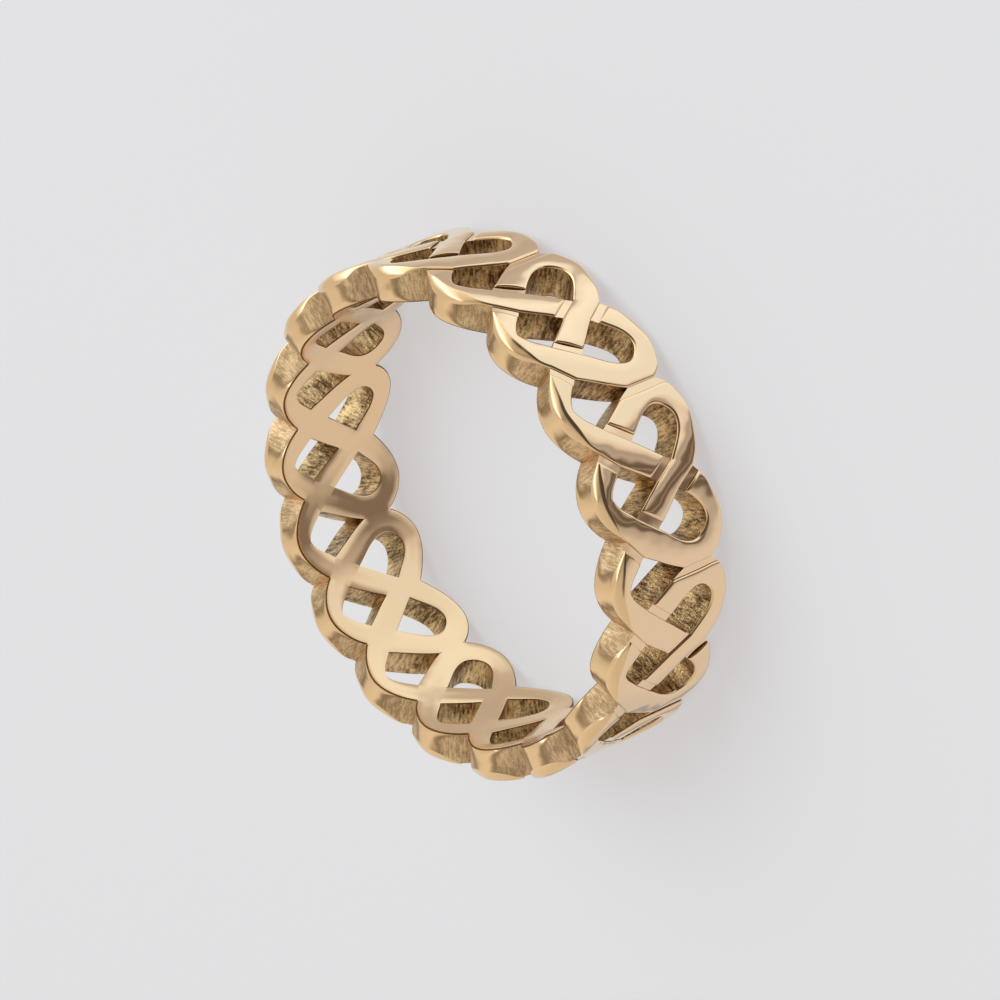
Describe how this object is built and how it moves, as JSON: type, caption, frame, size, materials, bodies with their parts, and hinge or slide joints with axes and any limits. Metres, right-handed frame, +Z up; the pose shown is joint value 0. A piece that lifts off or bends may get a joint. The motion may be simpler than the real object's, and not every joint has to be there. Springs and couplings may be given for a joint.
{
  "type": "knot ring",
  "caption": "Finger ring: a flat gold-coloured band cut through into a continuous interlaced knot, with scalloped edges and a small step wherever a strap dips under another.",
  "frame": {"origin": "centre of the underside, on the axis of the finger hole", "axes": "+Z up along the axis of the finger hole, towards the edge whose lobes are even; +X through a line where two lobes of the lower edge touch"},
  "size_m": [0.02, 0.02, 0.0055],
  "materials": {
    "knot_band": "polished"
  },
  "bodies": {
    "root": {"knot_band": "knot_band"}
  },
  "joints": []
}
